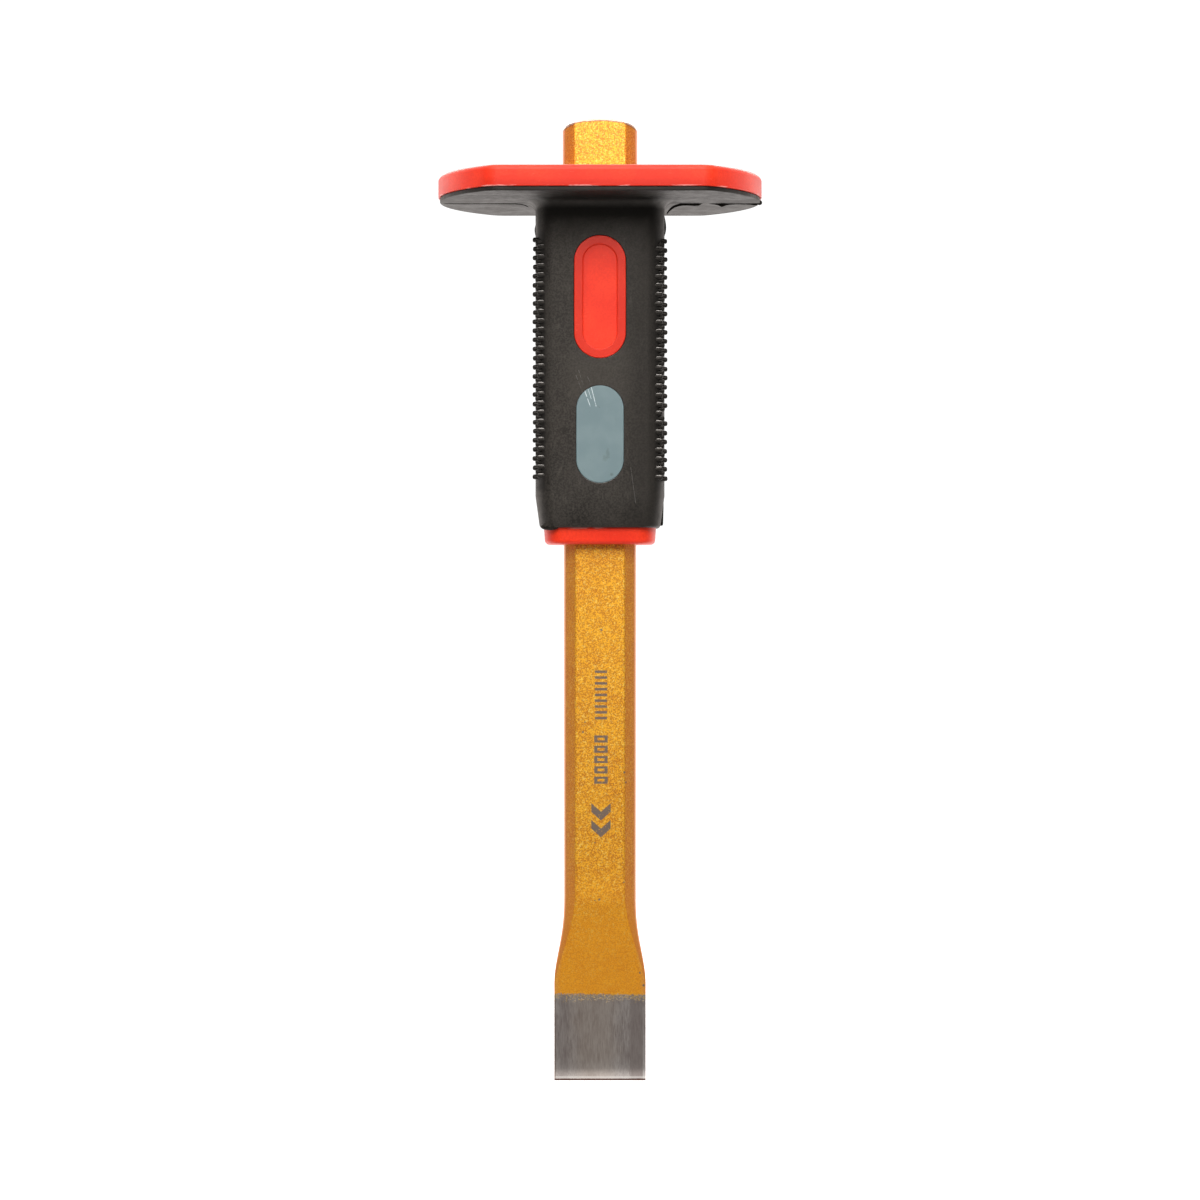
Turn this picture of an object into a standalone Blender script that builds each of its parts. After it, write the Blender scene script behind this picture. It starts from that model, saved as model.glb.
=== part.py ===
"""Cold chisel with a guarded grip, standing on its cutting edge.

Metres. +Z runs from the cutting edge up to the struck head, the front faces -Y, and the origin is
the middle of the cutting edge. The chisel is one forging; the grip on it is a hard core, a soft
overmould and two flush oval inlays.
"""

from math import atan2, cos, pi, radians, sin, sqrt

import bmesh
import bpy
from mathutils import Matrix

MM = 0.001

# Fit between pieces that touch on the real tool
GAP = 0.3 * MM

# Forged bar: a flat-octagonal section, four flats and four 45 degree chamfers
CHISEL_LENGTH = 300 * MM
BAR_WIDTH = 22.5 * MM
BAR_THICKNESS = 13 * MM
BAR_CHAMFER = 3.65 * MM

# Blade: it spreads sideways in a soft flare while its thickness tapers to the edge
BLADE_WIDTH = 28.6 * MM
FLARE_TOP = 58.5 * MM
FLARE_BOTTOM = 31 * MM
FLARE_STATIONS = 12
FLARE_SKEW = 1.4
TAPER_TOP = 56 * MM
CHAMFER_END = 30 * MM
CHAMFER_LEAST = 0.1 * MM
BEVEL_HEIGHT = 3 * MM
BEVEL_THICKNESS = 3.5 * MM
LAND_HEIGHT = 0.6 * MM
LAND_THICKNESS = 0.9 * MM
EDGE_THICKNESS = 0.4 * MM

# Struck head: a small flat, a shallow crown, then a turned 45 degree chamfer
HEAD_FLAT_RADIUS = 4 * MM
CROWN_RADIUS = 8.8 * MM
CROWN_DROP = 0.75 * MM
ENVELOPE_RADIUS = 18 * MM
TURNING_STEPS = 48

# Hand guard: a round plate with its front and back cut flat
GUARD_TOP = 282 * MM
GUARD_SEAM = 275.4 * MM
GUARD_BOTTOM = 274 * MM
GUARD_DIAMETER = 101 * MM
GUARD_DEPTH = 76 * MM
GUARD_CORNER = 4 * MM
GUARD_EDGE_RADIUS = 1.6 * MM
GUARD_ARC_STEPS = 20
LOWER_DISC_INSET = 0.5 * MM

# Rounding of the grip's upright corners, across its width and across its depth
CORNER_ACROSS = 5.9 * MM
CORNER_DEEP = 8.6 * MM

# Grip core: the tube under the guard, and the collar that shows below the sleeve
CORE_WIDTH = 35.2 * MM
CORE_DEPTH = 24.4 * MM
COLLAR_BOTTOM = 167.4 * MM
COLLAR_TAPER = 0.5 * MM
COLLAR_ROUND = 1.2 * MM

# Sleeve: the soft overmould around the core
SLEEVE_WIDTH = 40.1 * MM
SLEEVE_DEPTH = 30 * MM
SLEEVE_BOTTOM = 172.5 * MM
SLEEVE_TAPER_TOP = 182.3 * MM
SLEEVE_TAPER = 1.35 * MM
SLEEVE_ROUND = 0.5 * MM
GUARD_FILLET = 3 * MM

# Oval window in the sleeve, filled by a boss of the core with a shallow recess
WINDOW_CENTRE = 243.7 * MM
WINDOW_WIDTH = 16 * MM
WINDOW_HEIGHT = 37.9 * MM
WINDOW_PROUD = 0.3 * MM
WINDOW_RIM = 2.7 * MM
RECESS_DEPTH = 0.5 * MM

# Flush oval inlay below the window
INLAY_CENTRE = 201.3 * MM
INLAY_WIDTH = 14.7 * MM
INLAY_HEIGHT = 30.1 * MM
INLAY_THICKNESS = 1 * MM

GRIP_CORNER_STEPS = 6
CORNER_STEPS = 3
FILLET_STEPS = 4
OVAL_STEPS = 12
MERGE = 0.00001

FINISHES = {
    "forged_chisel": ((0.75, 0.36, 0.055), 0.42, 0.55),
    "grip_core": ((0.86, 0.055, 0.035), 0.35, 0.0),
    "grip_overmould": ((0.035, 0.031, 0.028), 0.62, 0.0),
    "front_inlay": ((0.25, 0.33, 0.35), 0.5, 0.0),
    "back_inlay": ((0.25, 0.33, 0.35), 0.5, 0.0),
}


def clear_scene():
    for thing in list(bpy.data.objects):
        bpy.data.objects.remove(thing, do_unlink=True)


def new_collection(name):
    collection = bpy.data.collections.new(name)
    bpy.context.scene.collection.children.link(collection)
    return collection


def add_object(name, mesh, collection):
    thing = bpy.data.objects.new(name, mesh)
    collection.objects.link(thing)
    return thing


def as_cutter(thing):
    thing.hide_render = True
    thing.display_type = "WIRE"
    return thing


def boolean(thing, operation, other):
    modifier = thing.modifiers.new(f"{operation.lower()}_{other.name}", "BOOLEAN")
    modifier.operation = operation
    modifier.solver = "EXACT"
    modifier.object = other


def give_finish(thing):
    colour, roughness, metallic = FINISHES[thing.name]
    material = bpy.data.materials.new(thing.name)
    material.use_nodes = True
    shader = material.node_tree.nodes["Principled BSDF"]
    shader.inputs["Base Color"].default_value = (*colour, 1.0)
    shader.inputs["Roughness"].default_value = roughness
    shader.inputs["Metallic"].default_value = metallic
    thing.data.materials.append(material)


# Outlines: points anticlockwise about the origin


def arc(centre_x, centre_y, radius, start, end, steps):
    turns = [start + (end - start) * step / steps for step in range(steps + 1)]
    return [(centre_x + radius * cos(turn), centre_y + radius * sin(turn)) for turn in turns]


def grip_outline(width, depth):
    """A rectangle with elliptical corners that run further round the sides."""
    x = width / 2 - CORNER_ACROSS
    y = depth / 2 - CORNER_DEEP
    turns = [pi / 2 * step / GRIP_CORNER_STEPS for step in range(GRIP_CORNER_STEPS + 1)]
    corner = [(x + CORNER_ACROSS * cos(turn), y + CORNER_DEEP * sin(turn)) for turn in turns]
    half = corner + [(-x, y) for x, y in reversed(corner)]
    return half + [(-x, -y) for x, y in half]


def octagon(width, thickness, chamfer):
    x = width / 2
    y = thickness / 2
    quarter = [(x, y - chamfer), (x - chamfer, y)]
    half = quarter + [(-px, py) for px, py in reversed(quarter)]
    return half + [(-px, -py) for px, py in half]


def oval(width, height):
    radius = width / 2
    straight = height / 2 - radius
    top = arc(0, straight, radius, 0, pi, OVAL_STEPS)
    return top + [(-x, -y) for x, y in top]


def guard_outline(inset):
    """Arcs of the guard's circle, rounded into the straight front and back edges."""
    radius = GUARD_DIAMETER / 2 - inset
    half_depth = GUARD_DEPTH / 2 - inset
    corner_y = half_depth - GUARD_CORNER
    corner_x = sqrt((radius - GUARD_CORNER) ** 2 - corner_y ** 2)
    reach = atan2(corner_y, corner_x)
    corner = arc(corner_x, corner_y, GUARD_CORNER, reach, pi / 2, CORNER_STEPS)
    opposite = [(x, -y) for x, y in reversed(corner)]
    right = opposite + arc(0, 0, radius, -reach, reach, GUARD_ARC_STEPS)[1:-1] + corner
    return right + [(-x, -y) for x, y in right]


# Solids


def loft(name, sections, collection):
    """Closed solid through sections (z, points) of equal length, lowest first."""
    bm = bmesh.new()
    rings = [[bm.verts.new((x, y, z)) for x, y in points] for z, points in sections]
    count = len(rings[0])
    for lower, upper in zip(rings, rings[1:]):
        for index in range(count):
            after = (index + 1) % count
            bm.faces.new((lower[index], lower[after], upper[after], upper[index]))
    bm.faces.new(list(reversed(rings[0])))
    bm.faces.new(rings[-1])
    mesh = bpy.data.meshes.new(name)
    bm.to_mesh(mesh)
    bm.free()
    return add_object(name, mesh, collection)


def prism(name, outline, thickness, placement, collection):
    """Flat outline given a thickness, centred on its plane and then placed."""
    curve = bpy.data.curves.new(name, "CURVE")
    curve.dimensions = "2D"
    curve.fill_mode = "BOTH"
    curve.extrude = thickness / 2
    spline = curve.splines.new("POLY")
    spline.points.add(len(outline) - 1)
    for point, (x, y) in zip(spline.points, outline):
        point.co = (x, y, 0, 1)
    spline.use_cyclic_u = True
    flat = add_object(name + "_outline", curve, collection)
    mesh = bpy.data.meshes.new_from_object(flat.evaluated_get(bpy.context.evaluated_depsgraph_get()))
    bpy.data.objects.remove(flat, do_unlink=True)
    mesh.name = name
    bm = bmesh.new()
    bm.from_mesh(mesh)
    bmesh.ops.remove_doubles(bm, verts=bm.verts, dist=MERGE)
    bmesh.ops.recalc_face_normals(bm, faces=bm.faces)
    bmesh.ops.dissolve_limit(bm, angle_limit=radians(0.5), verts=bm.verts, edges=bm.edges)
    bm.to_mesh(mesh)
    bm.free()
    mesh.transform(placement)
    return add_object(name, mesh, collection)


def level_prism(name, outline, bottom, top, collection):
    placement = Matrix.Translation((0, 0, (bottom + top) / 2))
    return prism(name, outline, top - bottom, placement, collection)


def facing_prism(name, outline, near, far, height, collection):
    """Prism whose outline faces the front, between two depths along Y."""
    turn = Matrix.Rotation(radians(90), 4, "X")
    placement = Matrix.Translation((0, (near + far) / 2, height)) @ turn
    return prism(name, outline, far - near, placement, collection)


def turned(name, profile, collection):
    """Solid of revolution about Z from points (radius, z), outer side running down."""
    bm = bmesh.new()
    points = [bm.verts.new((radius, 0, z)) for radius, z in profile]
    for upper, lower in zip(points, points[1:]):
        bm.edges.new((upper, lower))
    mesh = bpy.data.meshes.new(name)
    bm.to_mesh(mesh)
    bm.free()
    thing = add_object(name, mesh, collection)
    screw = thing.modifiers.new("turn", "SCREW")
    screw.axis = "Z"
    screw.steps = TURNING_STEPS
    screw.render_steps = TURNING_STEPS
    screw.use_merge_vertices = True
    screw.merge_threshold = MERGE
    return thing


# Forged chisel


def blend(low, high, amount):
    return low + (high - low) * amount


def bar_width_at(z):
    drop = (FLARE_TOP - z) / (FLARE_TOP - FLARE_BOTTOM)
    skewed = min(max(drop, 0.0), 1.0) ** FLARE_SKEW
    return blend(BAR_WIDTH, BLADE_WIDTH, skewed * skewed * (3 - 2 * skewed))


def bar_thickness_at(z):
    stations = [
        (0.0, EDGE_THICKNESS),
        (LAND_HEIGHT, LAND_THICKNESS),
        (BEVEL_HEIGHT, BEVEL_THICKNESS),
        (TAPER_TOP, BAR_THICKNESS),
    ]
    for (low_z, low), (high_z, high) in zip(stations, stations[1:]):
        if z <= high_z:
            return blend(low, high, (z - low_z) / (high_z - low_z))
    return BAR_THICKNESS


def bar_chamfer_at(z):
    amount = (z - CHAMFER_END) / (TAPER_TOP - CHAMFER_END)
    return blend(CHAMFER_LEAST, BAR_CHAMFER, min(max(amount, 0.0), 1.0))


def bar_section(z):
    return z, octagon(bar_width_at(z), bar_thickness_at(z), bar_chamfer_at(z))


def head_envelope(collection):
    rise_to_rim = CHISEL_LENGTH - CROWN_DROP
    cone_foot = rise_to_rim - (ENVELOPE_RADIUS - CROWN_RADIUS)
    middle_radius = (HEAD_FLAT_RADIUS + CROWN_RADIUS) / 2
    profile = [
        (0, CHISEL_LENGTH),
        (HEAD_FLAT_RADIUS, CHISEL_LENGTH),
        (middle_radius, CHISEL_LENGTH - CROWN_DROP * 0.36),
        (CROWN_RADIUS, rise_to_rim),
        (ENVELOPE_RADIUS, cone_foot),
        (ENVELOPE_RADIUS, -1 * MM),
        (0, -1 * MM),
    ]
    return as_cutter(turned("head_envelope", profile, collection))


def make_chisel(parts, cutters):
    step = (FLARE_TOP - CHAMFER_END) / FLARE_STATIONS
    flare = [CHAMFER_END + step * index for index in range(FLARE_STATIONS + 1)]
    heights = [0.0, LAND_HEIGHT, BEVEL_HEIGHT] + flare + [TAPER_TOP, CHISEL_LENGTH + 2 * MM]
    chisel = loft("forged_chisel", [bar_section(z) for z in sorted(heights)], parts)
    boolean(chisel, "INTERSECT", head_envelope(cutters))
    return chisel


# Grip core


def core_section(z, inset):
    return z, grip_outline(CORE_WIDTH - 2 * inset, CORE_DEPTH - 2 * inset)


def round_upper_edge(plate, height, radius):
    """Bevel only the edges that lie at the given height."""
    mesh = plate.data
    weights = mesh.attributes.new("bevel_weight_edge", "FLOAT", "EDGE")
    for edge in mesh.edges:
        ends = [mesh.vertices[index].co.z for index in edge.vertices]
        weights.data[edge.index].value = float(min(ends) > height - MERGE)
    bevel = plate.modifiers.new("rounded_edge", "BEVEL")
    bevel.limit_method = "WEIGHT"
    bevel.width = radius
    bevel.segments = 3


def core_tube(collection):
    inside_guard = (GUARD_SEAM + GUARD_TOP) / 2
    sections = [
        core_section(COLLAR_BOTTOM, COLLAR_TAPER + COLLAR_ROUND),
        core_section(COLLAR_BOTTOM + COLLAR_ROUND * 0.3, COLLAR_TAPER + COLLAR_ROUND * 0.3),
        core_section(COLLAR_BOTTOM + COLLAR_ROUND, COLLAR_TAPER),
        core_section(SLEEVE_BOTTOM, 0),
        core_section(inside_guard, 0),
    ]
    return as_cutter(loft("core_tube", sections, collection))


def core_bore(collection):
    """The bar's own section, held clear of it all round."""
    grown_chamfer = BAR_CHAMFER + GAP * (2 - sqrt(2))
    outline = octagon(BAR_WIDTH + 2 * GAP, BAR_THICKNESS + 2 * GAP, grown_chamfer)
    bottom = COLLAR_BOTTOM - 2 * MM
    top = GUARD_TOP + 2 * MM
    return as_cutter(level_prism("core_bore", outline, bottom, top, collection))


def make_core(parts, cutters):
    core = level_prism("grip_core", guard_outline(0), GUARD_SEAM, GUARD_TOP, parts)
    round_upper_edge(core, GUARD_TOP, GUARD_EDGE_RADIUS)
    boolean(core, "UNION", core_tube(cutters))
    face = SLEEVE_DEPTH / 2 + WINDOW_PROUD
    boss_outline = oval(WINDOW_WIDTH, WINDOW_HEIGHT)
    boss = facing_prism("window_boss", boss_outline, -face, face, WINDOW_CENTRE, cutters)
    boolean(core, "UNION", as_cutter(boss))
    floor = face - RECESS_DEPTH
    recess_outline = oval(WINDOW_WIDTH - 2 * WINDOW_RIM, WINDOW_HEIGHT - 2 * WINDOW_RIM)
    for side, near, far in (("front", -face - MM, -floor), ("back", floor, face + MM)):
        name = f"{side}_recess"
        recess = facing_prism(name, recess_outline, near, far, WINDOW_CENTRE, cutters)
        boolean(core, "DIFFERENCE", as_cutter(recess))
    boolean(core, "DIFFERENCE", core_bore(cutters))
    return core


# Overmould


def sleeve_section(z, inset):
    return z, grip_outline(SLEEVE_WIDTH - 2 * inset, SLEEVE_DEPTH - 2 * inset)


def sleeve_solid(name, collection):
    sections = [
        sleeve_section(SLEEVE_BOTTOM, SLEEVE_TAPER + SLEEVE_ROUND),
        sleeve_section(SLEEVE_BOTTOM + SLEEVE_ROUND, SLEEVE_TAPER),
        sleeve_section(SLEEVE_TAPER_TOP, 0),
    ]
    last_turn = radians(75)
    for step in range(FILLET_STEPS + 1):
        turn = last_turn * step / FILLET_STEPS
        z = GUARD_BOTTOM - GUARD_FILLET * (1 - sin(turn))
        sections.append(sleeve_section(z, -GUARD_FILLET * (1 - cos(turn))))
    middle_of_disc = (GUARD_BOTTOM + GUARD_SEAM - GAP) / 2
    sections.append(sleeve_section(middle_of_disc, -GUARD_FILLET * (1 - cos(last_turn))))
    return loft(name, sections, collection)


def core_clearance(collection):
    outline = grip_outline(CORE_WIDTH + 2 * GAP, CORE_DEPTH + 2 * GAP)
    bottom = SLEEVE_BOTTOM - 2 * MM
    return as_cutter(level_prism("core_clearance", outline, bottom, GUARD_SEAM + MM, collection))


def make_overmould(parts, cutters):
    outline = guard_outline(LOWER_DISC_INSET)
    overmould = level_prism("grip_overmould", outline, GUARD_BOTTOM, GUARD_SEAM - GAP, parts)
    boolean(overmould, "UNION", as_cutter(sleeve_solid("sleeve", cutters)))
    boolean(overmould, "DIFFERENCE", core_clearance(cutters))
    face = SLEEVE_DEPTH / 2
    window_outline = oval(WINDOW_WIDTH + 2 * GAP, WINDOW_HEIGHT + 2 * GAP)
    reach = face + MM
    window = facing_prism("window_cut", window_outline, -reach, reach, WINDOW_CENTRE, cutters)
    boolean(overmould, "DIFFERENCE", as_cutter(window))
    floor = face - INLAY_THICKNESS - GAP
    pocket_outline = oval(INLAY_WIDTH + 2 * GAP, INLAY_HEIGHT + 2 * GAP)
    for side, near, far in (("front", -reach, -floor), ("back", floor, reach)):
        name = f"{side}_pocket"
        pocket = facing_prism(name, pocket_outline, near, far, INLAY_CENTRE, cutters)
        boolean(overmould, "DIFFERENCE", as_cutter(pocket))
    return overmould


def make_inlay(side, parts):
    face = SLEEVE_DEPTH / 2
    depths = {
        "front": (-face, -face + INLAY_THICKNESS),
        "back": (face - INLAY_THICKNESS, face),
    }
    near, far = depths[side]
    outline = oval(INLAY_WIDTH, INLAY_HEIGHT)
    return facing_prism(f"{side}_inlay", outline, near, far, INLAY_CENTRE, parts)


def main():
    clear_scene()
    parts = new_collection("cold_chisel")
    cutters = new_collection("cutters")
    made = [
        make_chisel(parts, cutters),
        make_core(parts, cutters),
        make_overmould(parts, cutters),
        make_inlay("front", parts),
        make_inlay("back", parts),
    ]
    for thing in made:
        give_finish(thing)


main()
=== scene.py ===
from math import asin, cos, pi, radians, sin
from random import Random

import bmesh
import bpy
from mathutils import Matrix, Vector


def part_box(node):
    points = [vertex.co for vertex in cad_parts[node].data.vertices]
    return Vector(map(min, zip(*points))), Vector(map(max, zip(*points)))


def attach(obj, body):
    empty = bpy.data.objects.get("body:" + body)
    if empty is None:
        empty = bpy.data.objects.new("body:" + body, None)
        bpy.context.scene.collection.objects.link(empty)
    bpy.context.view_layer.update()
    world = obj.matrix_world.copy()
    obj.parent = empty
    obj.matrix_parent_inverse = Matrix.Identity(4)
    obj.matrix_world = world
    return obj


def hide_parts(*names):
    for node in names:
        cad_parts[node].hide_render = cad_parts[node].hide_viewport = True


# Guarded cold chisel, standing on its cutting edge. Sizes in the dictionaries are millimetres.

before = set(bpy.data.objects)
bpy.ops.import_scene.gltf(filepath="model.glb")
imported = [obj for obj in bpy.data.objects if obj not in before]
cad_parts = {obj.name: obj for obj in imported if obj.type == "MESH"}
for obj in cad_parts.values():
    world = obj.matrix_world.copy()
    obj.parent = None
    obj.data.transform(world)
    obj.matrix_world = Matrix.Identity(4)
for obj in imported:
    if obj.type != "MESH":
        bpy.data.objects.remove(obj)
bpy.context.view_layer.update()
mm = 0.001
near = 0.01 * mm  # closer than this counts as touching

chiselLow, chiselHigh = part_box("forged_chisel")
coreLow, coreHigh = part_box("grip_core")
sleeveLow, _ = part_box("grip_overmould")
inlayLow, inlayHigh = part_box("front_inlay")


# working on a mesh by hand
def deselectAll():
    if bpy.context.object and bpy.context.object.mode != "OBJECT":
        bpy.ops.object.mode_set(mode="OBJECT")
    for thing in bpy.context.selected_objects:
        thing.select_set(False)


def selectOnly(*things):
    deselectAll()
    for thing in things:
        thing.select_set(True)
    bpy.context.view_layer.objects.active = things[0]


def startPiece(name, primitive, stretch=(1, 1, 1), turn=(0, 0, 0), **settings):
    # adds a primitive, stretches it, and puts its place in its mesh
    deselectAll()
    primitive(rotation=turn, **settings)
    piece = bpy.context.object
    piece.name = name
    piece.data.name = name
    piece.scale = stretch
    bpy.ops.object.transform_apply(location=True, rotation=True, scale=True)
    return piece


def startBlock(name, width, depth, low, high):
    cube = bpy.ops.mesh.primitive_cube_add
    return startPiece(name, cube, (width, depth, high - low), size=1, location=(0, 0, (low + high) / 2))


def startDrum(name, sides, radius, low, high):
    drum = bpy.ops.mesh.primitive_cylinder_add
    middle = (0, 0, (low + high) / 2)
    return startPiece(name, drum, vertices=sides, radius=radius, depth=high - low, location=middle)


def editPiece(piece, mode="EDGE"):
    selectOnly(piece)
    bpy.ops.object.mode_set(mode="EDIT")
    bpy.ops.mesh.select_mode(type=mode)


def leaveEdit():
    bpy.ops.object.mode_set(mode="OBJECT")


def pick(kind, test):
    # selects the verts, edges or faces that pass a test, in edit mode
    bpy.ops.mesh.select_all(action="DESELECT")
    mesh = bpy.context.object.data
    cage = bmesh.from_edit_mesh(mesh)
    chosen = [part for part in getattr(cage, kind) if test(part)]
    for part in chosen:
        part.select_set(True)
    cage.select_flush_mode()
    bmesh.update_edit_mesh(mesh)


def bevelPicked(radius, segments):
    bpy.ops.mesh.bevel(offset=radius, segments=segments, affect="EDGES")


def extrudePicked(x, y, z):
    bpy.ops.mesh.extrude_region_move(TRANSFORM_OT_translate={"value": (x, y, z)})


def widenPicked(timesX, timesY, height):
    # widens about the upright axis
    bpy.ops.transform.resize(value=(timesX, timesY, 1), center_override=(0, 0, height))


def isUpright(edge):
    first, second = (vert.co for vert in edge.verts)
    return abs(first.z - second.z) > 0.9 * (first - second).length


def isLevelAt(edge, height):
    return all(abs(vert.co.z - height) < near for vert in edge.verts)


def isSharp(edge, degrees):
    return len(edge.link_faces) == 2 and edge.calc_face_angle(0) > radians(degrees)


def modify(piece, kind, **settings):
    selectOnly(piece)
    change = piece.modifiers.new(kind.lower(), kind)
    for name, value in settings.items():
        setattr(change, name, value)
    bpy.ops.object.modifier_apply(modifier=change.name)


def cutWith(piece, cutter, operation="DIFFERENCE"):
    modify(piece, "BOOLEAN", operation=operation, object=cutter, solver="EXACT")
    bpy.data.objects.remove(cutter, do_unlink=True)


def copyPiece(piece, name):
    selectOnly(piece)
    bpy.ops.object.duplicate(linked=False)
    copy = bpy.context.object
    copy.name = name
    return copy


def joinPieces(name, pieces):
    selectOnly(*pieces)
    bpy.ops.object.join()
    joined = bpy.context.object
    joined.name = name
    joined.data.name = name
    return joined


def turnPiece(piece, degrees):
    # turns the mesh about the upright axis
    selectOnly(piece)
    piece.rotation_euler = (0, 0, radians(degrees))
    bpy.ops.object.transform_apply(location=True, rotation=True, scale=True)


def smoothShade(piece, degrees=32):
    selectOnly(piece)
    bpy.ops.object.shade_smooth_by_angle(angle=radians(degrees), keep_sharp_edges=False)
    modify(piece, "WEIGHTED_NORMAL", keep_sharp=True, weight=60)


def faceOutwards(piece):
    editPiece(piece, "FACE")
    bpy.ops.mesh.select_all(action="SELECT")
    bpy.ops.mesh.normals_make_consistent(inside=False)
    leaveEdit()


def settle(piece, node, finish):
    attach(piece, "root")
    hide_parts(node)
    piece.data.materials.clear()
    piece.data.materials.append(finish)


# shader sums
class Wire:
    # a shader socket that can be added, multiplied and so on
    def __init__(self, tree, socket=None):
        self.tree = tree
        self.socket = socket

    def node(self, kind, settings=None, values=None, output=0):
        made = self.tree.nodes.new("ShaderNode" + kind)
        for name, value in (settings or {}).items():
            setattr(made, name, value)
        for name, value in (values or {}).items():
            if isinstance(value, Wire):
                self.tree.links.new(value.socket, made.inputs[name])
            else:
                made.inputs[name].default_value = value
        return Wire(self.tree, made.outputs[output] if made.outputs else None)

    def calc(self, operation, first, second=0.0, clamp=False):
        return self.node("Math", {"operation": operation, "use_clamp": clamp}, {0: first, 1: second})

    def __add__(self, other):
        return self.calc("ADD", self, other)

    def __sub__(self, other):
        return self.calc("SUBTRACT", self, other)

    def __mul__(self, other):
        return self.calc("MULTIPLY", self, other)

    def __truediv__(self, other):
        return self.calc("DIVIDE", self, other)

    def __rsub__(self, other):
        return self.calc("SUBTRACT", other, self)

    def __abs__(self):
        return self.calc("ABSOLUTE", self)

    def __rtruediv__(self, other):
        return self.calc("DIVIDE", other, self)

    __radd__ = __add__
    __rmul__ = __mul__

    def most(self, other):
        return self.calc("MAXIMUM", self, other)

    def ease(self, start, end, low=0.0, high=1.0):
        # smooth step from low at start to high at end
        return self.node(
            "MapRange",
            {"interpolation_type": "SMOOTHSTEP"},
            {0: self, 1: start, 2: end, 3: low, 4: high},
        )

    def blend(self, first, second):
        # self is the factor between two colours
        return self.node("Mix", {"data_type": "RGBA"}, {0: self, 6: first, 7: second}, 2)

    def place(self):
        # object coordinates in millimetres
        spot = self.node("TexCoord", output=3)
        return self.node("VectorMath", {"operation": "SCALE"}, {0: spot, 3: 1000.0})

    def axes(self):
        # x, y and z of a vector
        return [self.node("SeparateXYZ", {}, {0: self}, output) for output in range(3)]

    def stretch(self, x, y, z):
        return self.node("VectorMath", {"operation": "MULTIPLY"}, {0: self, 1: (x, y, z)})

    def grain(self, size, detail, roughness):
        # noise whose features are about that many millimetres across
        values = {"Vector": self, "Scale": 1 / size, "Detail": detail, "Roughness": roughness}
        return self.node("TexNoise", {}, values)

    def flakes(self, size):
        # a random number from 0 to 1 for each small cell
        cells = self.node("TexVoronoi", {"feature": "F1"}, {"Vector": self, "Scale": 1 / size}, 1)
        return cells.axes()[0]


def colour(red, green, blue):
    # a colour as seen on a screen, from 0 to 255, made linear
    def linear(value):
        value /= 255
        return value / 12.92 if value < 0.04045 else ((value + 0.055) / 1.055) ** 2.4

    return (linear(red), linear(green), linear(blue), 1.0)


def paint(tones, base, *layers):
    # lays named tones over a base in turn, each through its mask
    for mask, tone in layers:
        base = mask.blend(base, tones[tone])
    return base


def startFinish(name):
    material = bpy.data.materials.new(name)
    material.use_nodes = True
    material.node_tree.nodes.clear()
    start = Wire(material.node_tree)
    return material, start, start.place()


def endFinish(material, start, values, height=None, depth=0.0):
    # values feed the shader; height, where given, is the relief in parts of depth millimetres
    if height is not None:
        values = dict(values)
        values["Normal"] = start.node("Bump", {}, {"Distance": depth * mm, "Height": height})
    shader = start.node("BsdfPrincipled", {}, values)
    start.node("OutputMaterial", {}, {"Surface": shader})
    return material


def lengthOf(first, second):
    return first.calc("SQRT", first * first + second * second)


def segmentGap(x, z, start, end):
    # distance in the x-z plane from a straight line between two points
    alongX, alongZ = end[0] - start[0], end[1] - start[1]
    square = alongX**2 + alongZ**2
    alongRight, alongUp = (x - start[0]) * (alongX / square), (z - start[1]) * (alongZ / square)
    along = x.calc("ADD", alongRight, alongUp, clamp=True)
    return lengthOf(x - start[0] - along * alongX, z - start[1] - along * alongZ)


def scratchLines(x, z, lines, soften, core):
    # thin lines, each given by its two ends and its width
    marks = None
    for first, last, width in lines:
        line = segmentGap(x, z, first, last).ease(width + soften, width * core)
        marks = line if marks is None else marks.most(line)
    return marks


# sizes of the forged bar
bar = {
    "width": 22.5,
    "chamfer": 3.65,
    "sideRadius": 1.1,
    "frontRadius": 0.4,
    "flareTop": 58.5,
    "flareBottom": 31.0,
    "flareSkew": 1.4,
    "flareSteps": 14,
    "taperTop": 56.0,
    "chamferEnd": 30.0,
    "chamferLeast": 0.25,
    "edgeDepth": 0.6,
    # height and depth of each step of the ground edge
    "edgeSteps": (
        (0.45, 0.7), (0.9, 1.25), (1.5, 1.98), (2.3, 2.75),
        (3.1, 3.32), (4.0, 3.75), (5.2, 4.1), (6.8, 4.5),
    ),
    "plainRings": [12.0, 21.0],
    "headWidth": 23.2,
    "headTop": 286.0,
    "coneRadius": 11.7,
    "coneDrop": 3.5,
    "coneReach": 16.0,
    # radius and drop of each ring of the crown
    "crownSteps": ((11.35, 2.45), (10.8, 1.75), (9.9, 1.15), (8.3, 0.62), (6.3, 0.25), (3.5, 0.0)),
    "rimRadius": 0.5,
    "rimFrom": 290,
}
barWidth = bar["width"] * mm
barDepth = chiselHigh.y - chiselLow.y
bladeWidth = chiselHigh.x - chiselLow.x
barChamfer = bar["chamfer"] * mm

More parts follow.
